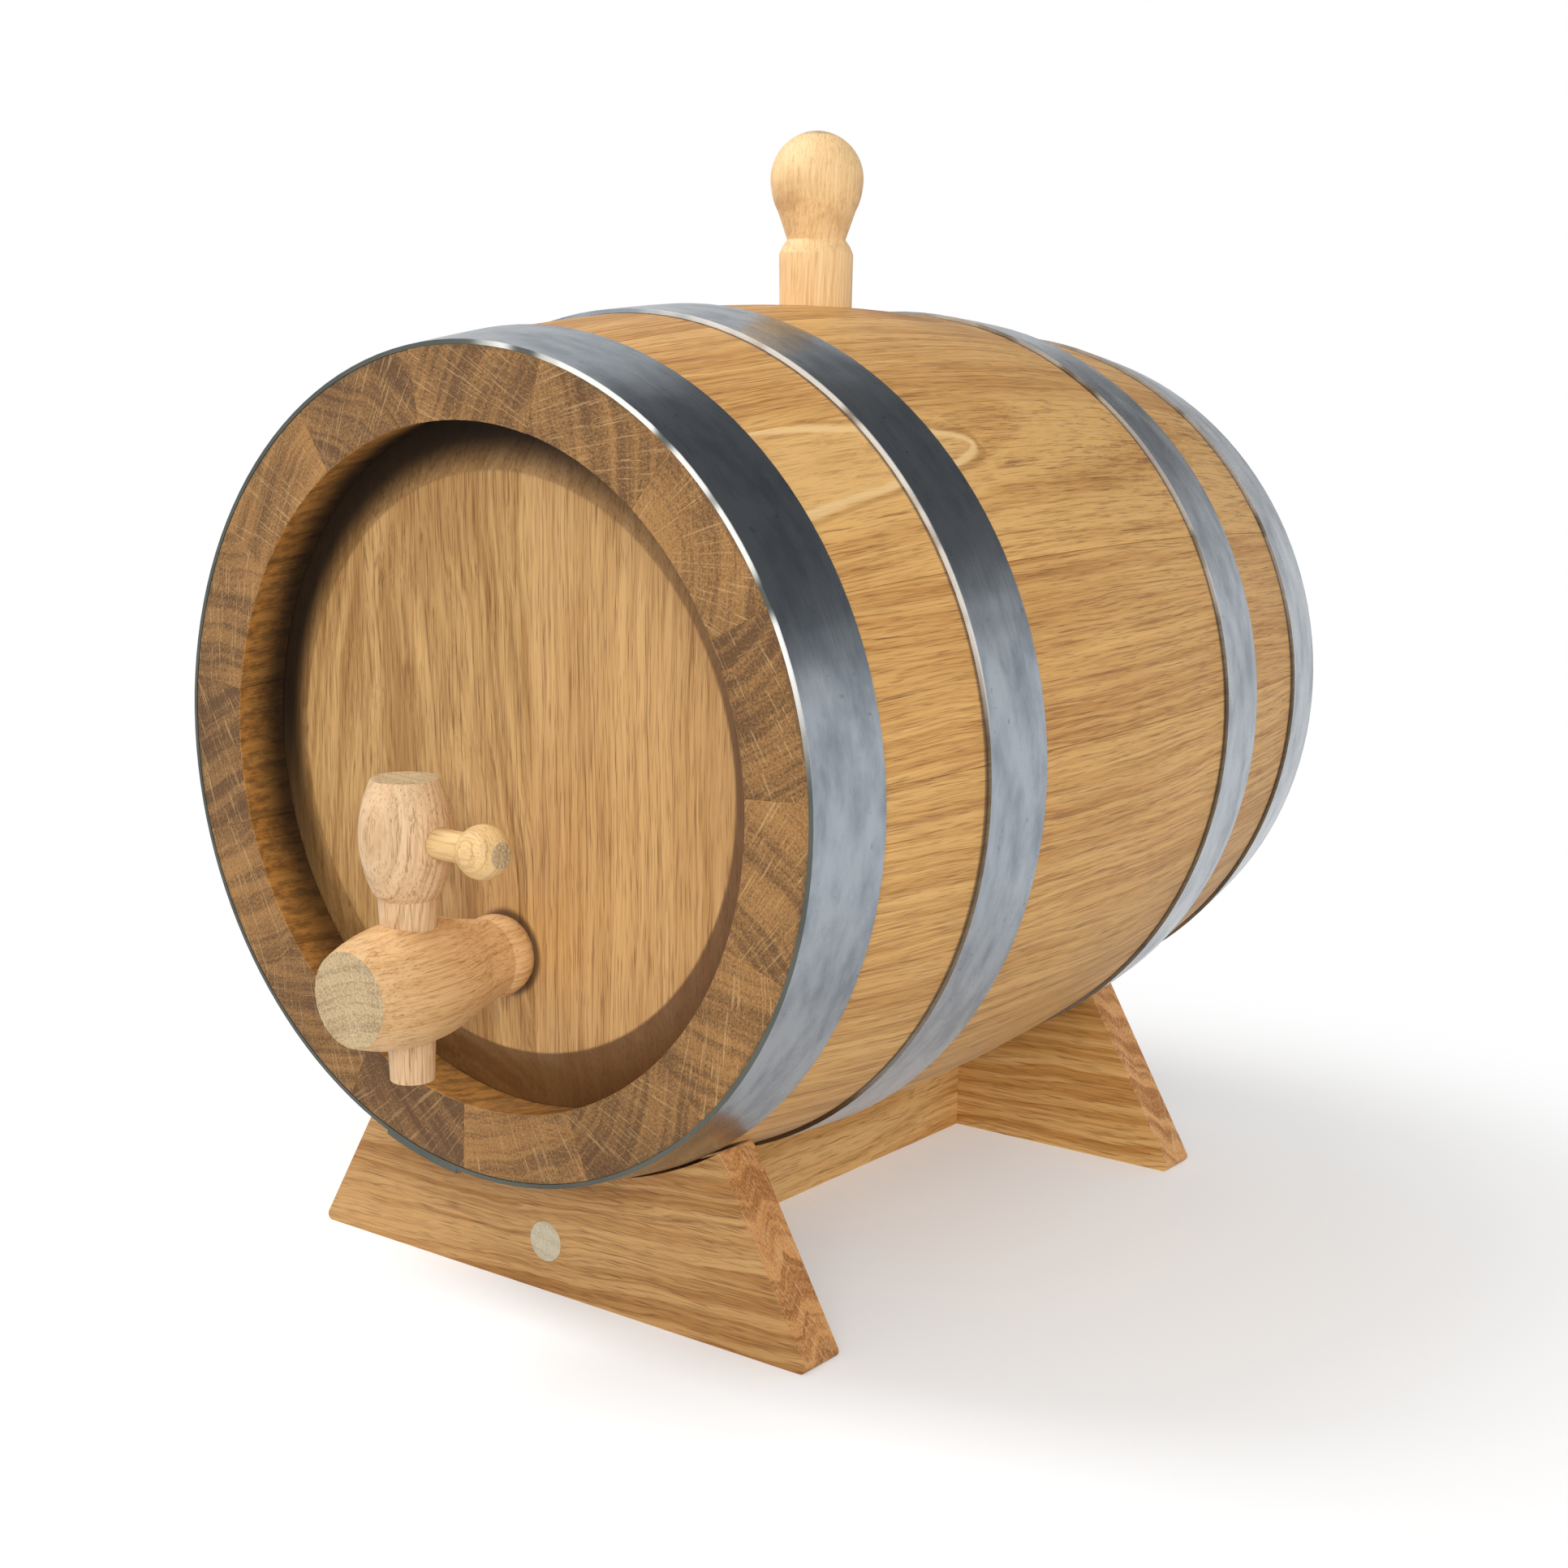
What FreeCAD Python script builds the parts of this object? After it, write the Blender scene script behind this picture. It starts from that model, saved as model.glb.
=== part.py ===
"""Small oak cask on a wooden stand, with a bung and a turned wooden tap.

Row frame: +Z up, the tapped head faces -Y, the origin is on the floor under the cask's centre.
The cask frame has its origin at the cask's centre and +Y along the cask's axis, away from the tap.
It leans forward so that the cask drains towards the tap, and the cask lies rolled a little in its cradle.
"""
import FreeCAD
import Part
import Sketcher
import math
import os

Vector = FreeCAD.Vector

doc = FreeCAD.newDocument("OakCask")
sizes = doc.addObject("Spreadsheet::Sheet", "Sizes")
node_objects = []

# Driving sizes, millimetres and degrees
driving = {
    "cask_length": 247,
    "rim_radius": 95,
    "belly_bulge": 11,
    "stave_thickness": 16,
    "stave_count": 15,
    "first_joint_angle": 75.5,
    "belly_gap": 7.3,
    "lean_angle": 2.5,
    "cask_roll": 1.3,
    "head_recess": 11.8,
    "head_thickness": 14,
    "panel_radius": 67.3,
    "bevel_depth": 4.5,
    "tongue_thickness": 5,
    "croze_depth": 3.5,
    "wood_clearance": 0.1,
    "left_head_joint": -45,
    "right_head_joint": 8.7,
    "head_pin_radius": 3,
    "head_pin_length": 24,
    "head_pin_high": 38,
    "head_pin_low": -22,
    "hoop_width": 21,
    "hoop_thickness": 1,
    "hoop_clearance": 0.05,
    "belly_hoop_place": 57.5,
    "lap_angle": 14,
    "lap_place": 252,
    "rivet_radius": 1.5,
    "rivet_head_radius": 3,
    "rivet_top_radius": 1.8,
    "rivet_head_height": 1.1,
    "rivet_spacing": 10,
    "bung_place": 8,
    "bung_seat_radius": 9.55,
    "bung_taper": 0.04,
    "bung_depth": 21,
    "bung_clearance": 0.05,
    "collar_height": 13.2,
    "collar_radius": 9.75,
    "collar_edge_height": 15.2,
    "collar_edge_radius": 8.9,
    "neck_height": 16.9,
    "neck_radius": 7.65,
    "cheek_height": 24.2,
    "cheek_radius": 10.2,
    "cheek_curve": 15,
    "knob_side_height": 29.6,
    "knob_side_radius": 11.9,
    "knob_top_height": 44.4,
    "knob_curve": 12.3,
    "knob_flat_radius": 1.2,
    "tap_drop": 44,
    "key_reach": 30.9,
    "tap_front": 18,
    "tap_front_radius": 10.8,
    "tap_neck": 24,
    "tap_neck_radius": 9.2,
    "tap_shoulder": 15,
    "tap_shoulder_radius": 11.2,
    "tap_curve": 44,
    "tap_collar_radius": 8.5,
    "tap_collar_curve": 8,
    "shank_radius": 7,
    "shank_inside": 12,
    "bore_radius": 2.75,
    "key_top": 46.2,
    "key_top_radius": 7.4,
    "key_curve": 29.5,
    "key_foot": 21,
    "key_foot_radius": 7.7,
    "key_shoulder": 19.4,
    "stem_top_radius": 6.6,
    "stem_taper": 0.038,
    "spout_length": 22.5,
    "running_clearance": 0.05,
    "handle_height": 33,
    "handle_radius": 3.45,
    "handle_inset": 8,
    "ball_reach": 23.5,
    "ball_radius": 6,
    "ball_flat_radius": 2.6,
    "board_thickness": 13,
    "front_board_place": 98,
    "rear_board_place": 79,
    "foot_half_width": 79.5,
    "end_slant": 60,
    "foot_tip_radius": 1.5,
    "cradle_clearance": 0.4,
    "stretcher_width": 14,
    "stretcher_height": 22,
    "dowel_radius": 5,
    "dowel_depth": 25,
    "dowel_height": 12.5,
}

# Sizes worked out from the driving ones
derived = {
    "half_length": "cask_length / 2",
    "belly_radius": "rim_radius + belly_bulge",
    "cask_height": "belly_radius + belly_gap + stretcher_height",
    "stave_angle": "360 / stave_count",
    "bilge_arc": "(half_length^2 + belly_bulge^2) / (2 * belly_bulge)",
    "inner_arc": "bilge_arc - stave_thickness",
    "arc_centre": "belly_radius - bilge_arc",
    "end_inner_radius": "arc_centre + sqrt(inner_arc^2 - half_length^2)",
    "head_face": "half_length - head_recess",
    "head_back": "head_face - head_thickness",
    "tongue_front": "head_face - bevel_depth",
    "tongue_back": "tongue_front - tongue_thickness",
    "croze_front": "tongue_front + wood_clearance",
    "croze_back": "tongue_back - wood_clearance",
    "croze_front_radius": "arc_centre + sqrt(inner_arc^2 - croze_front^2)",
    "croze_back_radius": "arc_centre + sqrt(inner_arc^2 - croze_back^2)",
    "croze_radius": "croze_front_radius + croze_depth",
    "tongue_radius": "croze_radius - wood_clearance",
    "tongue_root_radius": "croze_front_radius - wood_clearance",
    "tongue_middle": "(tongue_front + tongue_back) / 2",
    "left_pin_start": "left_head_joint + head_pin_length / 2",
    "right_pin_start": "right_head_joint + head_pin_length / 2",
    "pin_hole_radius": "head_pin_radius + running_clearance",
    "pin_hole_length": "head_pin_length + 2 * wood_clearance",
    "left_pin_hole": "left_pin_start + wood_clearance",
    "right_pin_hole": "right_pin_start + wood_clearance",
    "hoop_inner_arc": "bilge_arc + hoop_clearance",
    "hoop_outer_arc": "hoop_inner_arc + hoop_thickness",
    "lap_outer_arc": "hoop_outer_arc + hoop_thickness",
    "rear_lap_place": "540 - lap_place - lap_angle",
    "end_hoop_outer_edge": "half_length",
    "end_hoop_inner_edge": "half_length - hoop_width",
    "belly_hoop_outer_edge": "belly_hoop_place + hoop_width / 2",
    "belly_hoop_inner_edge": "belly_hoop_place - hoop_width / 2",
    "end_hoop_middle": "half_length - hoop_width / 2",
    "rivet_hole_radius": "rivet_radius + running_clearance",
    "rivet_shank": "2 * hoop_thickness",
    "rivet_hole_length": "8 * hoop_thickness",
    "bung_hole_radius": "bung_seat_radius + bung_clearance",
    "bung_end": "belly_radius - bung_depth",
    "bung_end_radius": "bung_seat_radius - bung_taper * bung_depth",
    "hole_low": "belly_radius - stave_thickness - bung_depth",
    "hole_span": "stave_thickness + 2 * bung_depth",
    "hole_low_radius": "bung_hole_radius - bung_taper * (stave_thickness + bung_depth)",
    "hole_high_radius": "bung_hole_radius + bung_taper * bung_depth",
    "collar_level": "belly_radius + collar_height",
    "collar_edge_level": "belly_radius + collar_edge_height",
    "neck_level": "belly_radius + neck_height",
    "cheek_level": "belly_radius + cheek_height",
    "knob_side_level": "belly_radius + knob_side_height",
    "knob_top_level": "belly_radius + knob_top_height",
    "key_place": "head_face + key_reach",
    "shank_hole_radius": "shank_radius + running_clearance",
    "shank_end": "key_reach + head_thickness + shank_inside",
    "stem_middle_radius": "stem_top_radius - stem_taper * key_shoulder",
    "stem_foot_radius": "stem_middle_radius - stem_taper * spout_length",
    "key_hole_top": "tap_front + key_shoulder",
    "key_hole_top_radius": "stem_middle_radius + running_clearance + stem_taper * key_hole_top",
    "key_hole_foot_radius": "stem_middle_radius + running_clearance - stem_taper * key_hole_top",
    "port_length": "2 * stem_top_radius",
    "handle_hole_radius": "handle_radius + running_clearance",
    "handle_hole_start": "2 * key_foot_radius",
    "handle_start": "key_foot_radius + 2.5 - handle_inset",
    "handle_hole_length": "handle_hole_start - handle_start + wood_clearance",
    "ball_root": "ball_reach - sqrt(ball_radius^2 - handle_radius^2)",
    "ball_end": "ball_reach + sqrt(ball_radius^2 - ball_flat_radius^2)",
    "front_board_back": "front_board_place - board_thickness",
    "rear_board_back": "rear_board_place + board_thickness",
    "tip_run": "foot_tip_radius / tan(end_slant / 2)",
    "foot_flat": "foot_half_width - tip_run",
    "tip_side": "foot_half_width - tip_run * cos(end_slant)",
    "tip_rise": "tip_run * sin(end_slant)",
    "slant_step": "1 / tan(end_slant)",
    "front_seat": "front_board_back * cos(lean_angle) + rim_radius * sin(end_slant) * sin(lean_angle)",
    "front_seat_radius": "arc_centre + sqrt(bilge_arc^2 - front_seat^2) + cradle_clearance",
    "front_seat_height": "cask_height - front_board_back * tan(lean_angle)",
    "rear_seat": "rear_board_place * cos(lean_angle) - belly_radius * sin(lean_angle)",
    "rear_seat_radius": "arc_centre + sqrt(bilge_arc^2 - rear_seat^2) + cradle_clearance",
    "rear_seat_height": "cask_height + rear_board_place * tan(lean_angle)",
    "front_slope": "slant_step * foot_half_width + front_seat_height",
    "rear_slope": "slant_step * foot_half_width + rear_seat_height",
    "front_drop": "foot_half_width^2 + front_seat_height^2 - front_seat_radius^2",
    "rear_drop": "foot_half_width^2 + rear_seat_height^2 - rear_seat_radius^2",
    "slant_share": "slant_step^2 + 1",
    "front_corner_height": "(front_slope - sqrt(front_slope^2 - slant_share * front_drop)) / slant_share",
    "rear_corner_height": "(rear_slope - sqrt(rear_slope^2 - slant_share * rear_drop)) / slant_share",
    "front_corner": "foot_half_width - slant_step * front_corner_height",
    "rear_corner": "foot_half_width - slant_step * rear_corner_height",
    "stretcher_length": "front_board_back + rear_board_place",
    "dowel_hole_radius": "dowel_radius + running_clearance",
    "dowel_length": "board_thickness + dowel_depth",
    "dowel_hole_depth": "dowel_depth + wood_clearance",
}


def fill_sheet():
    row = 0
    for alias, content in list(driving.items()) + list(derived.items()):
        row += 1
        cell = "B%d" % row
        sizes.set("A%d" % row, alias)
        sizes.set(cell, str(content) if alias in driving else "=" + content)
        sizes.setAlias(cell, alias)
    doc.recompute()


def length(name):
    """Present value of a sheet alias, which may carry a minus sign; "0" is zero."""
    if name == "0":
        return 0.0
    if name.startswith("-"):
        return -length(name[1:])
    return float(getattr(sizes, name))


def bound(name):
    """The same alias as an expression."""
    if name.startswith("-"):
        return "-Sizes." + name[1:]
    return "Sizes." + name


def shift(along_x="0", along_y="0", along_z="0", axis="0; 0; 1", angle="0"):
    """Placement expression: a turn about an axis through the origin, then a move."""
    move = "create(<<vector>>; %s; %s; %s)" % (along_x, along_y, along_z)
    turn = "create(<<rotation>>; create(<<vector>>; %s); %s)" % (axis, angle)
    return "create(<<placement>>; %s; %s)" % (move, turn)


LEANING_FRAME = shift(along_z="Sizes.cask_height", axis="1; 0; 0", angle="Sizes.lean_angle")
CASK_FRAME = LEANING_FRAME + " * " + shift(axis="0; 1; 0", angle="Sizes.cask_roll")
REAR_FRAME = CASK_FRAME + " * " + shift(angle="180")
TAP_FRAME = CASK_FRAME + " * " + shift(along_y="-Sizes.key_place", along_z="-Sizes.tap_drop")
END_FRAMES = {"front": CASK_FRAME, "rear": REAR_FRAME}
LAP_PLACES = {"front": "Sizes.lap_place", "rear": "Sizes.rear_lap_place"}


def as_node(item, label):
    item.Label = label
    node_objects.append(item)
    return item


def new_body(name, frame):
    body = doc.addObject("PartDesign::Body", name)
    body.setExpression("Placement", frame)
    return body


def new_sketch(body, role, offset=None):
    """Empty sketch on one of the body's own origin planes, moved out along its normal."""
    sketch = body.newObject("Sketcher::SketchObject", body.Name + "_sketch")
    plane = [item for item in body.Origin.OriginFeatures if item.Role == role][0]
    sketch.AttachmentSupport = [(plane, "")]
    sketch.MapMode = "FlatFace"
    if offset:
        sketch.setExpression("AttachmentOffset.Base.z", bound(offset))
    return sketch


def hold(sketch, geometry, point, across, up):
    """Fixes one point of the sketch at two sheet values."""
    for kind, name, axis in (("DistanceX", across, -2), ("DistanceY", up, -1)):
        if name == "0":
            sketch.addConstraint(Sketcher.Constraint("PointOnObject", geometry, point, axis))
            continue
        index = sketch.addConstraint(Sketcher.Constraint(kind, -1, 1, geometry, point, length(name)))
        sketch.setExpression("Constraints[%d]" % index, bound(name))


def arc_between(start, end, radius):
    """Anticlockwise arc, shorter than a half circle, from start to end."""
    chord = end - start
    outwards = Vector(chord.y, -chord.x, 0).normalize()
    rise = radius - math.sqrt(radius ** 2 - (chord.Length / 2) ** 2)
    return Part.Arc(start, (start + end) * 0.5 + outwards * rise, end)


def outline(sketch, corners, arcs=None):
    """Closed outline through corners held by sheet values.

    arcs gives, by corner, the radius of the arc that starts there and the side it bulges to.
    """
    arcs = arcs or {}
    points = [Vector(length(across), length(up), 0) for across, up in corners]
    ends = []
    for number, start in enumerate(points):
        end = points[(number + 1) % len(points)]
        if number in arcs:
            radius, side = arcs[number]
            way = (start, end) if side == "right" else (end, start)
            index = sketch.addGeometry(arc_between(*way, length(radius)))
            ends.append((index, 1, 2) if side == "right" else (index, 2, 1))
            continue
        index = sketch.addGeometry(Part.LineSegment(start, end))
        ends.append((index, 1, 2))
    for number, (index, first, last) in enumerate(ends):
        following = ends[(number + 1) % len(ends)]
        sketch.addConstraint(Sketcher.Constraint("Coincident", index, last, following[0], following[1]))
    for number, (index, first, last) in enumerate(ends):
        hold(sketch, index, first, *corners[number])
        if number in arcs:
            radius = arcs[number][0]
            place = sketch.addConstraint(Sketcher.Constraint("Radius", index, length(radius)))
            sketch.setExpression("Constraints[%d]" % place, bound(radius))


def circle(sketch, across, up, radius):
    place = Vector(length(across), length(up), 0)
    index = sketch.addGeometry(Part.Circle(place, Vector(0, 0, 1), length(radius)))
    hold(sketch, index, 3, across, up)
    bind = sketch.addConstraint(Sketcher.Constraint("Radius", index, length(radius)))
    sketch.setExpression("Constraints[%d]" % bind, bound(radius))


def revolve(body, sketch, axis="V_Axis", angle=None, kind="PartDesign::Revolution"):
    feature = body.newObject(kind, body.Name + "_turned")
    feature.Profile = sketch
    feature.ReferenceAxis = (sketch, [axis])
    feature.Angle = 360
    if angle:
        feature.setExpression("Angle", bound(angle))
        feature.Reversed = True
    return feature


def extrude(body, sketch, depth, kind="PartDesign::Pad", backwards=False):
    feature = body.newObject(kind, body.Name + "_extruded")
    feature.Profile = sketch
    feature.setExpression("Length", bound(depth))
    feature.Reversed = backwards
    return feature


def cut_through(body, sketch):
    feature = body.newObject("PartDesign::Pocket", body.Name + "_through")
    feature.Profile = sketch
    feature.Type = "ThroughAll"
    feature.SideType = "Symmetric"
    return feature


# Staves
def stave(name, number):
    angle = "Sizes.first_joint_angle + %d * Sizes.stave_angle" % number
    body = new_body(name, CASK_FRAME + " * " + shift(axis="0; -1; 0", angle=angle))
    sketch = new_sketch(body, "XY_Plane")
    corners = [
        ("rim_radius", "-half_length"),
        ("rim_radius", "half_length"),
        ("end_inner_radius", "half_length"),
        ("croze_front_radius", "croze_front"),
        ("croze_radius", "croze_front"),
        ("croze_radius", "croze_back"),
        ("croze_back_radius", "croze_back"),
        ("croze_back_radius", "-croze_back"),
        ("croze_radius", "-croze_back"),
        ("croze_radius", "-croze_front"),
        ("croze_front_radius", "-croze_front"),
        ("end_inner_radius", "-half_length"),
    ]
    inside = ("inner_arc", "left")
    outline(sketch, corners, {0: ("bilge_arc", "right"), 2: inside, 6: inside, 10: inside})
    revolve(body, sketch, angle="stave_angle")
    return body


def cone(name, foot_radius, top_radius, height, frame):
    item = doc.addObject("Part::Cone", name)
    item.setExpression("Radius1", bound(foot_radius))
    item.setExpression("Radius2", bound(top_radius))
    item.setExpression("Height", bound(height))
    item.setExpression("Placement", frame)
    return item


def cylinder(name, radius, height, frame):
    item = doc.addObject("Part::Cylinder", name)
    item.setExpression("Radius", bound(radius))
    item.setExpression("Height", bound(height))
    item.setExpression("Placement", frame)
    return item


def bored(name, base, tool):
    item = doc.addObject("Part::Cut", name)
    item.Base = base
    item.Tool = tool
    return item


def make_staves():
    frame = CASK_FRAME + " * " + shift(along_y="Sizes.bung_place", along_z="Sizes.hole_low")
    hole = cone("bung_hole", "hole_low_radius", "hole_high_radius", "hole_span", frame)
    as_node(bored("bung_stave", stave("top_stave", 0), hole), "bung_stave")
    for number in range(1, int(sizes.stave_count)):
        name = "stave_%02d" % (number + 1)
        as_node(stave(name, number), name)


# Heads: three boards each, doweled edge to edge, tongued into the croze
def side_of(body, inner, outer):
    sketch = new_sketch(body, "XY_Plane")
    corners = [
        (inner, "-half_length"),
        (outer, "-half_length"),
        (outer, "half_length"),
        (inner, "half_length"),
    ]
    outline(sketch, corners)
    cut_through(body, sketch)


def pin_holes(body, start):
    for level in ("head_pin_high", "head_pin_low"):
        sketch = new_sketch(body, "YZ_Plane", start)
        circle(sketch, "-tongue_middle", level, "pin_hole_radius")
        extrude(body, sketch, "pin_hole_length", "PartDesign::Pocket")


def head_board(end, side, cuts, joints):
    name = "%s_head_%s_board" % (end, side)
    body = new_body(name, END_FRAMES[end])
    sketch = new_sketch(body, "XY_Plane")
    corners = [
        ("0", "-head_face"),
        ("panel_radius", "-head_face"),
        ("tongue_root_radius", "-tongue_front"),
        ("tongue_radius", "-tongue_front"),
        ("tongue_radius", "-tongue_back"),
        ("tongue_root_radius", "-tongue_back"),
        ("panel_radius", "-head_back"),
        ("0", "-head_back"),
    ]
    outline(sketch, corners)
    revolve(body, sketch)
    for inner, outer in cuts:
        side_of(body, inner, outer)
    for start in joints:
        pin_holes(body, start)
    return as_node(body, name)


def head_pins(end):
    name = end + "_head_pins"
    body = new_body(name, END_FRAMES[end])
    for start in ("left_pin_start", "right_pin_start"):
        for level in ("head_pin_high", "head_pin_low"):
            sketch = new_sketch(body, "YZ_Plane", start)
            circle(sketch, "-tongue_middle", level, "head_pin_radius")
            extrude(body, sketch, "head_pin_length", backwards=True)
    as_node(body, name)


def make_heads():
    left = ("left_head_joint", "-belly_radius")
    right = ("right_head_joint", "belly_radius")
    for end in ("front", "rear"):
        head_board(end, "left", [("left_head_joint", "belly_radius")], ["left_pin_hole"])
        middle = head_board(end, "middle", [left, right], ["left_pin_hole", "right_pin_hole"])
        head_board(end, "right", [("right_head_joint", "-belly_radius")], ["right_pin_hole"])
        if end == "front":
            sketch = new_sketch(middle, "XZ_Plane")
            circle(sketch, "0", "-tap_drop", "shank_hole_radius")
            cut_through(middle, sketch)
        head_pins(end)


# Hoops: a strip bent round and lapped low on the -X side, held by two rivets through the lap
def hoop_band(body, inner_arc, outer_arc, inner_edge, outer_edge, place, angle=None):
    sketch = new_sketch(body, "XY_Plane")
    corners = [
        (place + "_inner_far", "-" + outer_edge),
        (place + "_outer_far", "-" + outer_edge),
        (place + "_outer_near", "-" + inner_edge),
        (place + "_inner_near", "-" + inner_edge),
    ]
    outline(sketch, corners, {1: (outer_arc, "right"), 3: (inner_arc, "left")})
    revolve(body, sketch, angle=angle)


def add_hoop_radii():
    """Sheet cells for each band's radii at its two edges."""
    cells = {}
    layers = (("", "hoop_inner_arc", "hoop_outer_arc"), ("_lap", "hoop_outer_arc", "lap_outer_arc"))
    for place in ("end_hoop", "belly_hoop"):
        for layer, low, high in layers:
            for edge, word in (("outer_edge", "far"), ("inner_edge", "near")):
                formula = "arc_centre + sqrt(%s^2 - " + place + "_" + edge + "^2)"
                cells["%s%s_inner_%s" % (place, layer, word)] = formula % low
                cells["%s%s_outer_%s" % (place, layer, word)] = formula % high
    derived.update(cells)


def rivet_frame(end, place, sign):
    middle = {"end": "Sizes.end_hoop_middle", "belly": "Sizes.belly_hoop_place"}[place]
    along = "(%s %s Sizes.rivet_spacing / 2)" % (middle, sign)
    slope = "atan(%s / Sizes.bilge_arc)" % along
    reach = "Sizes.arc_centre + Sizes.lap_outer_arc * cos(%s)" % slope
    turn = shift(axis="0; -1; 0", angle=LAP_PLACES[end] + " + Sizes.lap_angle / 2")
    seat = shift(along_x=reach, along_y="-Sizes.lap_outer_arc * sin(%s)" % slope, angle="-" + slope)
    return END_FRAMES[end] + " * " + turn + " * " + seat


def rivet(name, frame):
    outwards = frame + " * " + shift(axis="0; 1; 0", angle="90")
    inwards = frame + " * " + shift(along_x="-2 * Sizes.hoop_thickness", axis="0; 1; 0", angle="90")
    head = cone(name + "_head", "rivet_head_radius", "rivet_top_radius", "rivet_head_height", outwards)
    shank = cylinder(name + "_shank", "rivet_radius", "rivet_shank", inwards)
    whole = doc.addObject("Part::Fuse", name)
    whole.Base = head
    whole.Tool = shank
    return whole


def make_hoops():
    rivets = []
    for end in ("front", "rear"):
        for place in ("end", "belly"):
            name = "%s_%s_hoop" % (end, place)
            turn = shift(axis="0; -1; 0", angle=LAP_PLACES[end])
            body = new_body(name + "_band", END_FRAMES[end] + " * " + turn)
            edges = ("%s_hoop_inner_edge" % place, "%s_hoop_outer_edge" % place)
            hoop_band(body, "hoop_inner_arc", "hoop_outer_arc", *edges, place + "_hoop")
            hoop_band(body, "hoop_outer_arc", "lap_outer_arc", *edges, place + "_hoop_lap", "lap_angle")
            drilled = body
            for number, sign in enumerate("+-"):
                frame = rivet_frame(end, place, sign)
                inwards = shift(along_x="-4 * Sizes.hoop_thickness", axis="0; 1; 0", angle="90")
                hole_name = "%s_hole_%d" % (name, number)
                hole_frame = frame + " * " + inwards
                hole = cylinder(hole_name, "rivet_hole_radius", "rivet_hole_length", hole_frame)
                drilled = bored("%s_drilled_%d" % (name, number), drilled, hole)
                rivets.append(rivet("%s_rivet_%d" % (name, number), frame))
            as_node(drilled, name)
    group = doc.addObject("Part::Compound", "hoop_rivets")
    group.Links = rivets
    as_node(group, "hoop_rivets")


# Bung
def make_bung():
    body = new_body("bung", CASK_FRAME + " * " + shift(along_y="Sizes.bung_place"))
    sketch = new_sketch(body, "XZ_Plane")
    corners = [
        ("0", "bung_end"),
        ("bung_end_radius", "bung_end"),
        ("bung_seat_radius", "belly_radius"),
        ("collar_radius", "collar_level"),
        ("collar_edge_radius", "collar_edge_level"),
        ("neck_radius", "neck_level"),
        ("cheek_radius", "cheek_level"),
        ("knob_side_radius", "knob_side_level"),
        ("knob_flat_radius", "knob_top_level"),
        ("0", "knob_top_level"),
    ]
    outline(sketch, corners, {6: ("cheek_curve", "right"), 7: ("knob_curve", "right")})
    revolve(body, sketch)
    as_node(body, "bung")


# Tap: turned body driven into the head, with the key standing in a tapered hole
def make_tap_body():
    body = new_body("tap_body", TAP_FRAME)
    sketch = new_sketch(body, "XY_Plane")
    corners = [
        ("0", "-tap_front"),
        ("tap_front_radius", "-tap_front"),
        ("tap_shoulder_radius", "tap_shoulder"),
        ("tap_neck_radius", "tap_neck"),
        ("tap_collar_radius", "key_reach"),
        ("shank_radius", "key_reach"),
        ("shank_radius", "shank_end"),
        ("bore_radius", "shank_end"),
        ("bore_radius", "0"),
        ("0", "0"),
    ]
    outline(sketch, corners, {1: ("tap_curve", "right"), 3: ("tap_collar_curve", "right")})
    revolve(body, sketch)
    hole = new_sketch(body, "XZ_Plane")
    corners = [
        ("0", "-key_hole_top"),
        ("key_hole_foot_radius", "-key_hole_top"),
        ("key_hole_top_radius", "key_hole_top"),
        ("0", "key_hole_top"),
    ]
    outline(hole, corners)
    revolve(body, hole, kind="PartDesign::Groove")
    as_node(body, "tap_body")


def make_tap_key():
    body = new_body("tap_key", TAP_FRAME)
    sketch = new_sketch(body, "XZ_Plane")
    corners = [
        ("bore_radius", "-spout_length"),
        ("stem_foot_radius", "-spout_length"),
        ("stem_top_radius", "key_shoulder"),
        ("key_foot_radius", "key_foot"),
        ("key_top_radius", "key_top"),
        ("0", "key_top"),
        ("0", "bore_radius"),
        ("bore_radius", "bore_radius"),
    ]
    outline(sketch, corners, {3: ("key_curve", "right")})
    revolve(body, sketch)
    port = new_sketch(body, "YZ_Plane")
    circle(port, "0", "0", "bore_radius")
    extrude(body, port, "port_length", "PartDesign::Pocket")
    socket = new_sketch(body, "YZ_Plane", "handle_hole_start")
    circle(socket, "0", "handle_height", "handle_hole_radius")
    extrude(body, socket, "handle_hole_length", "PartDesign::Pocket")
    as_node(body, "tap_key")


def make_key_handle():
    body = new_body("key_handle", TAP_FRAME + " * " + shift(along_z="Sizes.handle_height"))
    sketch = new_sketch(body, "XZ_Plane")
    corners = [
        ("handle_start", "0"),
        ("handle_start", "handle_radius"),
        ("ball_root", "handle_radius"),
        ("ball_end", "ball_flat_radius"),
        ("ball_end", "0"),
    ]
    outline(sketch, corners, {2: ("ball_radius", "left")})
    revolve(body, sketch, "H_Axis")
    as_node(body, "key_handle")


# Stand
def cradle_board(name, end, front_place):
    body = new_body(name, shift(along_y=front_place))
    sketch = new_sketch(body, "XZ_Plane")
    corner = end + "_corner"
    height = end + "_corner_height"
    corners = [
        ("-foot_flat", "0"),
        ("foot_flat", "0"),
        ("tip_side", "tip_rise"),
        (corner, height),
        ("-" + corner, height),
        ("-tip_side", "tip_rise"),
    ]
    tip = ("foot_tip_radius", "right")
    outline(sketch, corners, {1: tip, 3: (end + "_seat_radius", "left"), 5: tip})
    extrude(body, sketch, "board_thickness", backwards=True)
    hole = new_sketch(body, "XZ_Plane")
    circle(hole, "0", "dowel_height", "dowel_hole_radius")
    cut_through(body, hole)
    as_node(body, name)


def dowel_frame(place):
    return shift(along_y=place, along_z="Sizes.dowel_height", axis="1; 0; 0", angle="-90")


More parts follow.
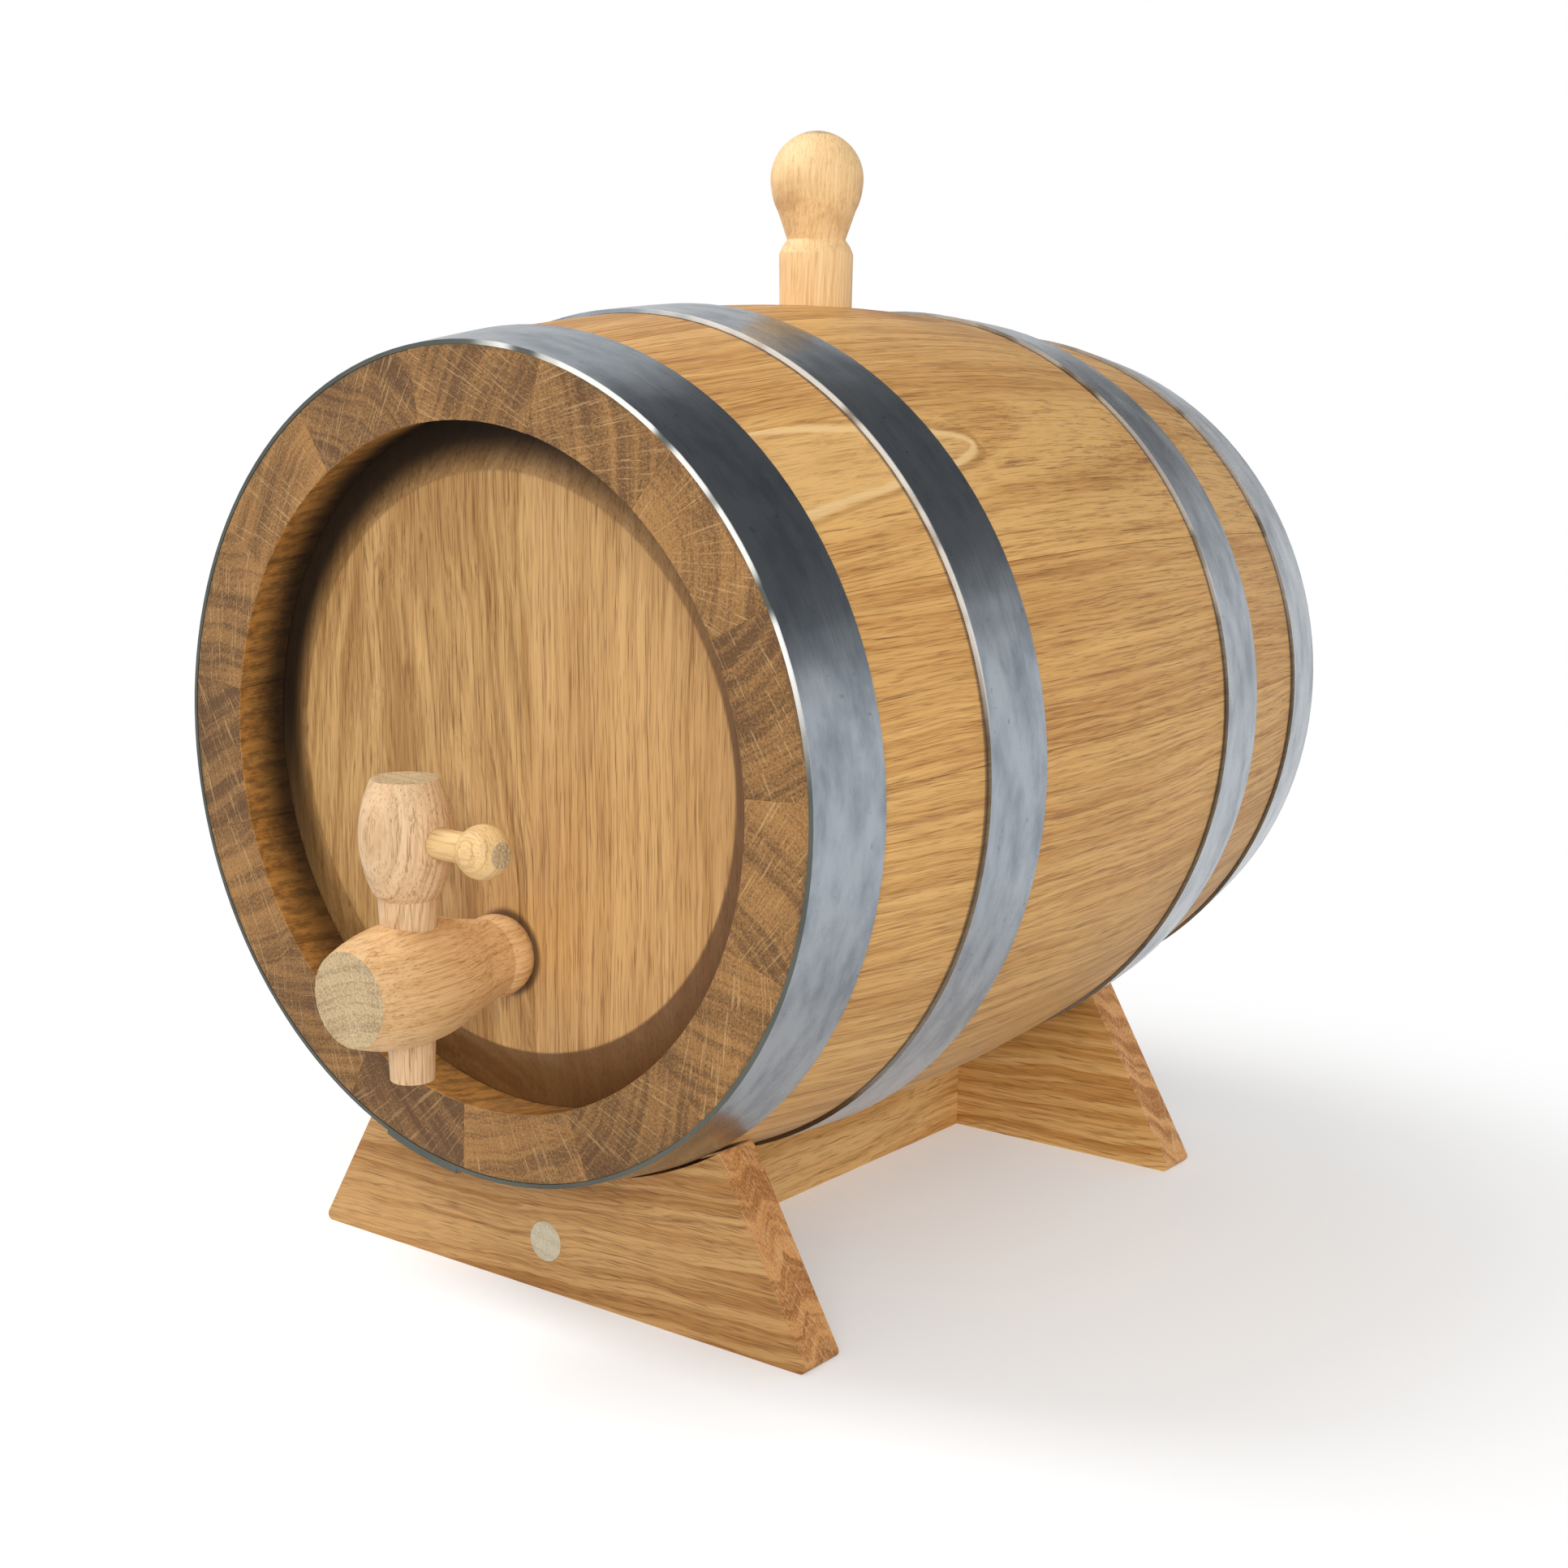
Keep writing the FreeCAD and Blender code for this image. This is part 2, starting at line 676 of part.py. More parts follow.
def make_stretcher():
    box = doc.addObject("Part::Box", "stretcher_blank")
    box.setExpression("Length", bound("stretcher_width"))
    box.setExpression("Width", bound("stretcher_length"))
    box.setExpression("Height", bound("stretcher_height"))
    corner = shift(along_x="-Sizes.stretcher_width / 2", along_y="-Sizes.front_board_back")
    box.setExpression("Placement", corner)
    drilled = box
    starts = {"front": "-Sizes.front_board_back", "rear": "Sizes.rear_board_place - Sizes.dowel_hole_depth"}
    for end, place in starts.items():
        hole = cylinder(end + "_dowel_hole", "dowel_hole_radius", "dowel_hole_depth", dowel_frame(place))
        drilled = bored(end + "_end_bored", drilled, hole)
    as_node(drilled, "stretcher")


def make_stand():
    cradle_board("front_cradle_board", "front", "-Sizes.front_board_place")
    cradle_board("rear_cradle_board", "rear", "Sizes.rear_board_place")
    make_stretcher()
    starts = {"front": "-Sizes.front_board_place", "rear": "Sizes.rear_board_place - Sizes.dowel_depth"}
    for end, place in starts.items():
        name = end + "_dowel"
        as_node(cylinder(name, "dowel_radius", "dowel_length", dowel_frame(place)), name)


def check_and_write():
    """Stops at any failed object, then writes one file per node."""
    doc.recompute()
    for item in doc.Objects:
        if "Invalid" in item.State or "Error" in item.State:
            raise RuntimeError("failed: " + item.Name)
    for item in node_objects:
        if item.Shape.isNull() or not item.Shape.isValid():
            raise RuntimeError("bad shape: " + item.Label)
    os.makedirs("parts", exist_ok=True)
    for item in node_objects:
        item.Shape.exportStep(os.path.join("parts", item.Label + ".step"))
        print("%-26s solids %d  volume %.0f" % (item.Label, len(item.Shape.Solids), item.Shape.Volume))


add_hoop_radii()
fill_sheet()
make_staves()
make_heads()
make_hoops()
make_bung()
make_tap_body()
make_tap_key()
make_key_handle()
make_stand()
check_and_write()
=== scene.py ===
import math
import bpy
from mathutils import Matrix, Vector

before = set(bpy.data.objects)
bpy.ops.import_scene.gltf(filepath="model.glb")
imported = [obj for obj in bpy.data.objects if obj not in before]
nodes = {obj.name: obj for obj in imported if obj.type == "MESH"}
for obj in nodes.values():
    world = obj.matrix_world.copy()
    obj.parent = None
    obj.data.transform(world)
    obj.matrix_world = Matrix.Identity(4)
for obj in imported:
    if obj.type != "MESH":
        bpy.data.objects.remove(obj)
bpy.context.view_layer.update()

scene = bpy.context.scene
print("frame loaded,", len(nodes), "nodes")


class Wire:
    # a socket inside one finish; sums on it add Math nodes
    def __init__(self, finish, socket):
        self.finish = finish
        self.socket = socket

    # another output of the same node
    def other(self, name):
        return Wire(self.finish, self.socket.node.outputs[name])

    def __add__(self, other):
        return self.finish.maths("ADD", self, other)

    def __radd__(self, other):
        return self.finish.maths("ADD", other, self)

    def __sub__(self, other):
        return self.finish.maths("SUBTRACT", self, other)

    def __rsub__(self, other):
        return self.finish.maths("SUBTRACT", other, self)

    def __mul__(self, other):
        return self.finish.maths("MULTIPLY", self, other)

    def __rmul__(self, other):
        return self.finish.maths("MULTIPLY", other, self)

    def __truediv__(self, other):
        return self.finish.maths("DIVIDE", self, other)

    def __rtruediv__(self, other):
        return self.finish.maths("DIVIDE", other, self)


class Finish:
    def __init__(self, name, world=None):
        self.owner = world or bpy.data.materials.new(name)
        self.owner.use_nodes = True
        self.tree = self.owner.node_tree
        self.shader = self.tree.nodes.get("Principled BSDF")

    # any node: its kind, its settings first, then values or links for its sockets
    def node(self, kind, settings=None, values=None, out=0):
        made = self.tree.nodes.new("ShaderNode" + kind)
        for name, setting in (settings or {}).items():
            setattr(made, name, setting)
        for name, value in (values or {}).items():
            self.put(made.inputs[name], value)
        return Wire(self, made.outputs[out])

    def put(self, socket, value):
        if isinstance(value, Wire):
            self.tree.links.new(value.socket, socket)
        else:
            socket.default_value = value

    def maths(self, operation, *items):
        return self.node("Math", {"operation": operation}, dict(enumerate(items)))

    def absolute(self, value):
        return self.maths("ABSOLUTE", value)

    def hypot(self, first, second):
        return self.maths("SQRT", first * first + second * second)

    def vector(self, x, y, z):
        return self.node("CombineXYZ", None, {"X": x, "Y": y, "Z": z})

    def mix(self, amount, first, second):
        return self.node("Mix", {"data_type": "RGBA"}, {0: amount, 6: first, 7: second}, 2)

    # noise whose grain is one unit of its place
    def noise(self, place, detail, rough):
        values = {"Vector": place, "Scale": 1.0, "Detail": detail, "Roughness": rough}
        return self.node("TexNoise", None, values)

    # 0 below low, 1 above high, smooth between; low may be the larger one
    def step(self, value, low, high):
        values = {"Value": value, "From Min": low, "From Max": high}
        return self.node("MapRange", {"interpolation_type": "SMOOTHSTEP"}, values)

    # 1 within near of the value's place, 0 beyond far
    def band(self, value, far, near):
        return self.step(self.absolute(value), far, near)

    # bump is the height's depth in metres and its strength
    def finishWith(self, colour, rough, height, bump, metallic=0.0):
        relief = {"Height": height, "Distance": bump[0], "Strength": bump[1]}
        self.put(self.shader.inputs["Base Color"], colour)
        self.put(self.shader.inputs["Roughness"], rough)
        self.put(self.shader.inputs["Metallic"], metallic)
        self.put(self.shader.inputs["Normal"], self.node("Bump", None, relief))
        return self.owner


def srgb(code):
    parts = [int(code[place:place + 2], 16) / 255 for place in (0, 2, 4)]
    linear = (part / 12.92 if part < 0.04045 else ((part + 0.055) / 1.055) ** 2.4 for part in parts)
    return tuple(linear) + (1,)


# u across the board, v along its grain and w through it, in millimetres
def grainPlace(finish, turn=(0, 0, 0), shift=(0, 0, 0)):
    point = finish.node("TexCoord", None, None, 3)
    angles = tuple(math.radians(angle) for angle in turn)
    values = {"Vector": point, "Location": shift, "Rotation": angles, "Scale": (1000, 1000, 1000)}
    placed = finish.node("Mapping", {"vector_type": "POINT"}, values)
    split = finish.node("SeparateXYZ", None, {"Vector": placed})
    return [split.other(number) for number in range(3)]


# noises that run with the board: grains per millimetre across and along it, detail and roughness
boardNoise = {
    "slow": (0.03, 0.011, 2, 0.5), "quick": (0.22, 0.035, 2, 0.6), "pores": (3.4, 0.11, 1, 0.5),
    "lines": (1.3, 0.035, 3, 0.7), "tone": (0.05, 0.013, 2, 0.5),
}
oakLook = {
    "seedAcross": 31.7, "seedThrough": 17.3, "seedRings": 13.1, "zigzagWidth": 4.5,
    "ringStretch": (0.003, 0.01), "ringEdge": (0.36, 0.66), "streakPlace": (1.8, 0.014, 0.5),
    "streakDark": (0.5, 0.72, 0.6), "poreEdge": (0.6, 0.72), "poreRings": 0.05, "lineDark": (0.55, 0.7, 0.35),
    "rayPlace": (2.4, 0.09, 0.02), "rayEdge": (0.6, 0.7), "rayShare": 0.4,
    "sawPlace": (2.2, 0.05), "sawEdge": (0.63, 0.69), "scratchShare": 0.5, "pitPlace": 1.7,
    "endTone": 1.2, "endSaw": 1.1, "endPores": 0.55,
    "level": 0.6, "poreDepth": 0.35, "streakDepth": 0.5, "endDepth": 1.2,
    "rough": 0.52, "ringRough": 0.06, "endRough": 0.16,
}


def oak(finish, u, v, w, grainAxis, look):
    seed = look["seed"]
    pithU, pithW = look["pith"]
    tiltU, tiltW = look["tilt"]
    across = u + seed * oakLook["seedAcross"]
    through = w + seed * oakLook["seedThrough"]

    def along(kind):
        fine, coarse, detail, rough = boardNoise[kind]
        return finish.noise(finish.vector(across * fine, v * coarse, through * fine), detail, rough)

    sideways = u - pithU - tiltU * v
    deep = w - pithW - tiltW * v
    distance = finish.hypot(sideways, deep) + (along("slow") - 0.5) * look["wander"]
    distance = distance + (along("quick") - 0.5) * look["ripple"] + seed * oakLook["seedRings"]
    if look["zigzag"]:
        distance = distance + finish.maths("PINGPONG", w, oakLook["zigzagWidth"]) * look["zigzag"]
    arc = finish.maths("ARCTAN2", sideways, deep) * math.hypot(pithU, pithW)

    # growth rings of uneven width, fine streaks along them, then the pores
    ringAlong, ringArc = oakLook["ringStretch"]
    rings = finish.noise(finish.vector(distance * look["rings"], v * ringAlong, arc * ringArc), 2, 0.65)
    rings = finish.step(rings, *oakLook["ringEdge"])
    streakOut, streakAlong, streakArc = oakLook["streakPlace"]
    streaks = finish.noise(finish.vector(distance * streakOut, v * streakAlong, arc * streakArc), 4, 0.75)
    pores = finish.step(along("pores") + rings * oakLook["poreRings"], *oakLook["poreEdge"])
    lines = along("lines")
    tone = along("tone") - 0.5
    rayArc, rayOut, rayAlong = oakLook["rayPlace"]
    rays = finish.noise(finish.vector(arc * rayArc, distance * rayOut, v * rayAlong), 1, 0.5)
    rays = finish.step(rays, *oakLook["rayEdge"])

    light, middle, dark = (srgb(code) for code in look["colours"])
    amount = rings * look["contrast"] + (streaks - 0.5) * look["streaks"] + tone * look["tone"] + look["base"]
    colour = finish.mix(amount + (lines - 0.5) * look["lines"], light, middle)
    low, high, share = oakLook["lineDark"]
    colour = finish.mix(finish.step(lines, low, high) * look["lines"] * share, colour, dark)
    low, high, share = oakLook["streakDark"]
    colour = finish.mix(finish.step(streaks, low, high) * share + pores * look["pores"], colour, dark)

    # end grain: darker, with rays from the pith, saw marks across and open pores
    normal = finish.node("TexCoord", None, None, 1)
    facing = finish.node("VectorMath", {"operation": "DOT_PRODUCT"}, {0: normal, 1: grainAxis}, 1)
    ends = finish.step(finish.absolute(facing), *look["endFrom"])
    turn = math.radians(look["saw"])
    sawAcross = u * math.cos(turn) + w * math.sin(turn)
    sawAlong = w * math.cos(turn) - u * math.sin(turn)
    fine, coarse = oakLook["sawPlace"]
    saw = finish.noise(finish.vector(sawAcross * fine, sawAlong * coarse, seed), 3, 0.7)
    scratches = finish.step(saw, *oakLook["sawEdge"])
    pits = finish.noise(finish.vector(u * oakLook["pitPlace"], w * oakLook["pitPlace"], seed), 3, 0.75)
    endLight, endDark, endPale = (srgb(code) for code in look["endColours"])
    amount = rings * look["endRings"] + tone * oakLook["endTone"] + (saw - 0.5) * oakLook["endSaw"]
    amount = amount + (pits - 0.5) * look["pits"] + look["endBase"]
    endColour = finish.mix(amount, endLight, endDark)
    pale = finish.maths("MAXIMUM", rays * oakLook["rayShare"], scratches * oakLook["scratchShare"])
    endColour = finish.mix(pale, endColour, endPale)
    endColour = finish.mix(pores * oakLook["endPores"], endColour, endDark)
    colour = finish.mix(ends, colour, endColour)

    height = oakLook["level"] - pores * oakLook["poreDepth"] + (streaks - 0.5) * oakLook["streakDepth"]
    height = height + ends * ((saw - 0.5) * oakLook["endDepth"] + (pits - 0.5) * oakLook["endDepth"])
    rough = oakLook["rough"] + rings * oakLook["ringRough"] + ends * oakLook["endRough"]
    return colour, rough, height, ends


# millimetres and degrees; bend is the drop of the staves' arc over the square of the place
cask = {"height": 135.3, "lean": 2.5, "roll": 1.3, "staves": 15, "firstJoint": 75.5, "belly": 106.0,
        "bend": 0.000717, "panel": 67.3, "hoopEdges": (47, 68, 102.5), "tapDrop": 44}
lean = math.radians(cask["lean"])
caskTurn = Matrix.Rotation(lean, 3, "X") @ Matrix.Rotation(math.radians(cask["roll"]), 3, "Y")
caskSide, caskAxis, caskUp = (tuple(caskTurn.col[number]) for number in range(3))


# the cask's own frame, turned about its axis so that the bearing spin lies along z
def caskTurned(spin):
    around = spin - cask["roll"]
    turn = Matrix.Rotation(math.radians(around), 3, "Y") @ Matrix.Rotation(-lean, 3, "X")
    return (-cask["lean"], around, 0), tuple(turn @ Vector((0, 0, -cask["height"])))


def dress(name, material):
    for slot in nodes[name].material_slots:
        slot.link = "OBJECT"
        slot.material = material


staveLook = {
    "tilt": (0.004, 0.006), "rings": 0.42, "wander": 9, "ripple": 1.3, "contrast": 0.5, "streaks": 1.5,
    "base": 0.2, "pores": 0.5, "saw": 30, "endRings": 0.45, "pits": 2.8, "zigzag": 0,
    "tone": 1.0, "lines": 1.3, "endFrom": (0.6, 0.8), "bump": (0.00025, 0.6),
    "colours": ("E4B26A", "C28A46", "8A5A28"), "endColours": ("B08046", "60401F", "D8B078"),
}
# each stave: where its pith lay, its saw marks' bearing and its tone
staves = {
    1: {"pith": (70, -40), "saw": 75, "base": 0.42},
    2: {"pith": (-60, -70), "saw": 20, "base": 0.3},
    3: {"pith": (20, -90), "saw": 110, "base": 0.3},
    4: {"pith": (-80, -30), "saw": 60, "base": 0.25},
    5: {"pith": (85, 25), "saw": 100, "base": 0.3},
    6: {"pith": (90, -10), "saw": 15, "base": 0.35},
    7: {"pith": (60, -60), "saw": 140, "base": 0.3},
    8: {"pith": (-50, -80), "saw": 40, "base": 0.35},
    9: {"pith": (15, -70), "saw": 85, "base": 0.15, "endBase": 0.2},
    10: {"pith": (45, -75), "saw": 25, "base": 0.2},
    11: {"pith": (-75, -45), "saw": 120, "base": 0.16},
    12: {"pith": (80, -50), "saw": 65, "base": 0.2},
    13: {"pith": (-85, -35), "saw": 10, "base": 0.32},
    14: {"pith": (-9, -34), "tilt": (0.02, -0.04), "saw": 50, "base": -0.05, "wander": 3, "contrast": 0.6},
    15: {"pith": (-70, -60), "saw": 130, "base": 0.3},
}
# the chime's tone changes from stave to stave
chimeTone = {"least": 0.14, "change": 0.37, "span": 0.5}
tongueLook = {"stave": 14, "side": 9, "tip": 33, "curve": 0.5, "waver": (0.12, 0.05, 2.5),
              "bare": (-4, -2.5), "inside": (0.6, -0.8, 0.25, "EBC080"),
              "pale": (-0.4, 1.5, 0.5, 0.8, "F2CB8E"), "brown": (1.6, 0.9, 0.2, 0.4, "9A6A32")}
wallLook = {"corner": 140, "cornerEdge": (-0.45, 0.6), "from": (101, 102), "deepest": (122, 109),
            "under": (-8, -10), "grain": (0.35, 0.12), "oiledEdge": (0.42, 0.6), "oiled": ("B57C34", "613C14"),
            "share": 0.65, "shade": (0.9, "180C05")}
hoopShadeLook = {"outside": (-3.5, -2), "width": (1.3, 0.4), "share": 0.75, "colour": "33261A"}
rimLook = {"from": (122.2, 123.2), "outer": (-1.4, -0.4), "inner": (-12, -11), "share": 0.5,
           "colour": "54452C"}


# a tongue of pale grain on the outside of one stave, its tip between the belly hoops
def addTongue(finish, u, v, w, ends, colour):
    bare = finish.step(w, *tongueLook["bare"]) * (1 - ends)
    across, along, reach = tongueLook["waver"]
    waver = finish.noise(finish.vector(u * across, v * along, 0.0), 2, 0.5) - 0.5
    aside = u + tongueLook["side"] + waver * reach
    tongue = v + tongueLook["tip"] + aside * aside * tongueLook["curve"]
    tongue = tongue / finish.maths("SQRT", aside * aside + 1)
    low, high, share, code = tongueLook["inside"]
    colour = finish.mix(finish.step(tongue, low, high) * bare * share, colour, srgb(code))
    for part in ("pale", "brown"):
        place, far, near, share, code = tongueLook[part]
        colour = finish.mix(finish.band(tongue - place, far, near) * bare * share, colour, srgb(code))
    return colour


for number, own in staves.items():
    name = "bung_stave" if number == 1 else "stave_%02d" % number
    middle = cask["firstJoint"] + (number - 0.5) * 360 / cask["staves"]
    finish = Finish("oak_" + name)
    u, v, radius = grainPlace(finish, *caskTurned(middle - 90))
    w = radius + v * v * cask["bend"] - cask["belly"]
    endBase = chimeTone["least"] + number * chimeTone["change"] % 1 * chimeTone["span"]
    look = dict(staveLook, seed=number, endBase=endBase)
    look.update(own)
    colour, rough, height, ends = oak(finish, u, v, w, caskAxis, look)
    if number == tongueLook["stave"]:
        colour = addTongue(finish, u, v, w, ends, colour)

    # painted shade along the hoop edges, on the outside only
    fromMiddle = finish.absolute(v)
    outside = finish.step(w, *hoopShadeLook["outside"])
    for edge in cask["hoopEdges"]:
        line = finish.band(fromMiddle - edge, *hoopShadeLook["width"]) * outside
        colour = finish.mix(line * hoopShadeLook["share"], colour, srgb(hoopShadeLook["colour"]))

    # the wall between the chime and the head, oiled, with painted shade darkest high on the tap's left
    inside = finish.step(w, *wallLook["under"]) * finish.step(fromMiddle, *wallLook["from"]) * (1 - ends)
    corner = math.radians(wallLook["corner"] - middle + 90)
    corner = (u * math.cos(corner) + radius * math.sin(corner)) / finish.hypot(u, radius)
    corner = finish.step(corner, *wallLook["cornerEdge"]) * finish.step(fromMiddle, *wallLook["deepest"])
    fine, along = wallLook["grain"]
    oiled = finish.noise(finish.vector(u * fine, v * along, radius * fine), 4, 0.7)
    pale, brown = (srgb(code) for code in wallLook["oiled"])
    oiled = finish.mix(finish.step(oiled, *wallLook["oiledEdge"]), pale, brown)
    colour = finish.mix(inside * wallLook["share"], colour, oiled)
    share, code = wallLook["shade"]
    colour = finish.mix(inside * corner * share, colour, srgb(code))

    # painted shade along the chime's outer edge, beside the end hoop
    rim = finish.step(fromMiddle, *rimLook["from"]) * finish.step(w, *rimLook["outer"])
    rim = rim * finish.step(w, *rimLook["inner"])
    colour = finish.mix(rim * rimLook["share"], colour, srgb(rimLook["colour"]))
    dress(name, finish.finishWith(colour, rough, height, look["bump"]))
print("staves dressed")

headLook = dict(staveLook, colours=("D5A86C", "B4844A", "7F5226"), rings=0.3, wander=14, streaks=1.1, endBase=0.35,
                bump=(0.0002, 0.5), firstSeed=20)
heads = {
    "left": {"pith": (-30, -75), "tilt": (0.08, 0.02), "contrast": 0.8, "base": 0.12,
             "colours": ("D6AA6C", "AD7F44", "7A5024")},
    "middle": {"pith": (-26, -60), "tilt": (-0.09, 0.03), "contrast": 0.9, "base": 0.12,
               "colours": ("D6AA6C", "A87A40", "734A1E")},
    "right": {"pith": (120, -90), "tilt": (0.01, 0.01), "contrast": 0.4, "base": 0.2, "wander": 8},
}
# low and high are directions on the head, right and up
bevelLook = {"edge": (-0.3, 0.5), "low": (0.75, -0.66), "lowEdge": (-0.3, 0.7), "least": 0.35,
             "lowShare": 0.5, "colour": "603B15", "high": (-0.6, 0.8), "highEdge": (-0.1, 0.7),
             "shadeFrom": (66, 76), "shadeShare": 0.95, "shade": "150B05"}
gapLook = {"round": (11.2, 9.4), "front": (0, -1), "share": 0.8, "colour": "3A2412"}

for number, name in enumerate(sorted(name for name in nodes if "_head_" in name and "board" in name)):
    finish = Finish("oak_" + name)
    x, y, z = grainPlace(finish, *caskTurned(0))
    look = dict(headLook, seed=headLook["firstSeed"] + number, **heads[name.split("_")[2]])
    colour, rough, height, ends = oak(finish, x, z, y, caskUp, look)

    # the sawn bevel round the panel takes more oil, most of it low on the right
    radius = finish.hypot(x, z)
    bevel = finish.step(radius, *(cask["panel"] + edge for edge in bevelLook["edge"]))
    right, up = bevelLook["low"]
    low = finish.step((x * right + z * up) / radius, *bevelLook["lowEdge"])
    right, up = bevelLook["high"]
    high = finish.step((x * right + z * up) / radius, *bevelLook["highEdge"])
    oiled = bevel * (bevelLook["least"] + low * bevelLook["lowShare"])
    colour = finish.mix(oiled, colour, srgb(bevelLook["colour"]))
    shade = finish.step(radius, *bevelLook["shadeFrom"]) * high * bevelLook["shadeShare"]
    colour = finish.mix(shade, colour, srgb(bevelLook["shade"]))

    # a dark ring on the head round the tap's collar
    fromTap = finish.hypot(x, z + cask["tapDrop"])
    gap = finish.step(fromTap, *gapLook["round"]) * finish.step(y, *gapLook["front"])
    colour = finish.mix(gap * gapLook["share"], colour, srgb(gapLook["colour"]))
    dress(name, finish.finishWith(colour, rough, height, look["bump"]))
print("heads dressed")

tapLook = dict(
    staveLook, pith=(12, -26), tilt=(0.02, 0.05), rings=0.6, wander=5, ripple=1.6, contrast=0.35, base=0.15,
    streaks=1.7, pores=0.4, saw=45, endBase=0.1, colours=("E8BE88", "CB985C", "9A6A38"),
    endColours=("D4BA8E", "96795A", "E6D6B2"), pits=3.4, endFrom=(0.86, 0.95), tone=0.9, lines=0.9,
    firstSeed=40,
)
dowelLook = {"endColours": ("DACFB4", "C2B192", "E2D9C2"), "endBase": 0, "pores": 0.15, "pits": 1.8}
turned = {
    "tap_body": {}, "tap_key": {"colours": ("E6C297", "CDA376", "97734C"), "pores": 0.6},
    "key_handle": {"colours": ("F0CC92", "D9AC6C", "A07840")},
    "bung": {"colours": ("FAD49C", "EBBE82", "C4935A"), "pith": (-30, -30), "pores": 0.2},
    "front_head_pins": {}, "rear_head_pins": {}, "front_dowel": dowelLook, "rear_dowel": dowelLook,
}
# a browner patch low on the bung's knob, at these heights over the cask's axis
patchLook = {"grain": (0.09, 0.12), "edge": (0.42, 0.66), "top": (141, 134), "foot": (122, 128),
             "share": 0.4, "colour": "B8864E"}
tapMiddle = 40  # how far the grain's middle lies under the cask's axis

for number, (name, own) in enumerate(turned.items()):
    finish = Finish("wood_" + name)
    x, y, z = grainPlace(finish, *caskTurned(0))
    look = dict(tapLook, seed=tapLook["firstSeed"] + number)
    look.update(own)
    if name in ("tap_key", "bung"):
        colour, rough, height, ends = oak(finish, x, z, y, caskUp, look)
    elif name in ("key_handle", "front_head_pins", "rear_head_pins"):
        colour, rough, height, ends = oak(finish, y, x, z, caskSide, look)
    else:
        colour, rough, height, ends = oak(finish, x, y, z + tapMiddle, caskAxis, look)
    if name == "bung":
        fine, up = patchLook["grain"]
        spread = finish.noise(finish.vector(x * fine, y * fine, z * up), 2, 0.6)
        patch = finish.step(spread, *patchLook["edge"])
        patch = patch * finish.step(z, *patchLook["top"]) * finish.step(z, *patchLook["foot"])
        colour = finish.mix(patch * patchLook["share"], colour, srgb(patchLook["colour"]))
    dress(name, finish.finishWith(colour, rough, height, look["bump"]))

standLook = dict(
    staveLook, rings=0.3, contrast=0.95, streaks=1.4, base=0.16, wander=12, ripple=2.2, pores=0.5, lines=0.8,
    colours=("E4B36E", "BC8440", "7E4F20"), endColours=("E0A362", "A0642F", "F2D3A0"), endBase=0, endRings=0.8,
    saw=60, bump=(0.0003, 0.7), firstSeed=60,
)
# the rear board and the stretcher have lighter colours than the front board, partly their own tone and partly
# painted light from the right
stand = {
    "front_cradle_board": {"pith": (-120, -60), "tilt": (0.09, 0.03), "zigzag": 0.7, "ripple": 3.6,
                           "colours": ("D2A264", "AE7839", "724720")},
    "rear_cradle_board": {"pith": (-90, 30), "tilt": (0.05, 0.02), "zigzag": 0.4,
                          "colours": ("EEBE78", "C88E46", "865522"),
                          "endColours": ("F4B878", "B4743A", "FFE0AC")},
    "stretcher": {"pith": (30, 60), "tilt": (0.02, 0.01), "saw": 90,
                  "colours": ("FFD08A", "E4AC60", "A87636")},
}

for number, (name, own) in enumerate(stand.items()):
    finish = Finish("oak_" + name)
    x, y, z = grainPlace(finish)
    look = dict(standLook, seed=standLook["firstSeed"] + number)
    look.update(own)
    if name == "stretcher":
        colour, rough, height, ends = oak(finish, z, y, x, (0, 1, 0), look)
    else:
        colour, rough, height, ends = oak(finish, z, x, y, (1, 0, 0), look)
    dress(name, finish.finishWith(colour, rough, height, look["bump"]))
print("tap, bung and stand dressed")


# fronts are the hoops' front edges along the axis, each with how strong its painted highlight is
steelLook = {
    "bright": "A8AFB6", "dull": "848C96", "spot": "5A5F66", "lip": "57584B", "paintedGlint": "F4F3EE",
    "dullEdge": (0.35, 0.75), "spotShare": 0.35, "lipShare": 0.85,
    "rough": 0.27, "smudgeRough": 0.22, "rolledRough": 0.12, "lipRough": 0.3,
    "lipFrom": (123.2, 123.45), "frontFrom": (-123.1, -123.3), "fronts": ((-68, 0.9), (47, 0.5), (102.5, 0.4)),
    "frontWidth": (0.7, 0.3), "glintFrom": (0, 16), "glintTo": (150, 120), "glintMetal": 0.85,
    "rolledDepth": 0.12, "bump": (0.0008, 0.5),
    "smudge": (0.05, 0.12), "rolled": (0.05, 1.8), "flecks": 0.45, "fleckEdge": (0.68, 0.76),
    "dents": (0.07, 0.05), "dentEdge": (0.3, 0.5),
}


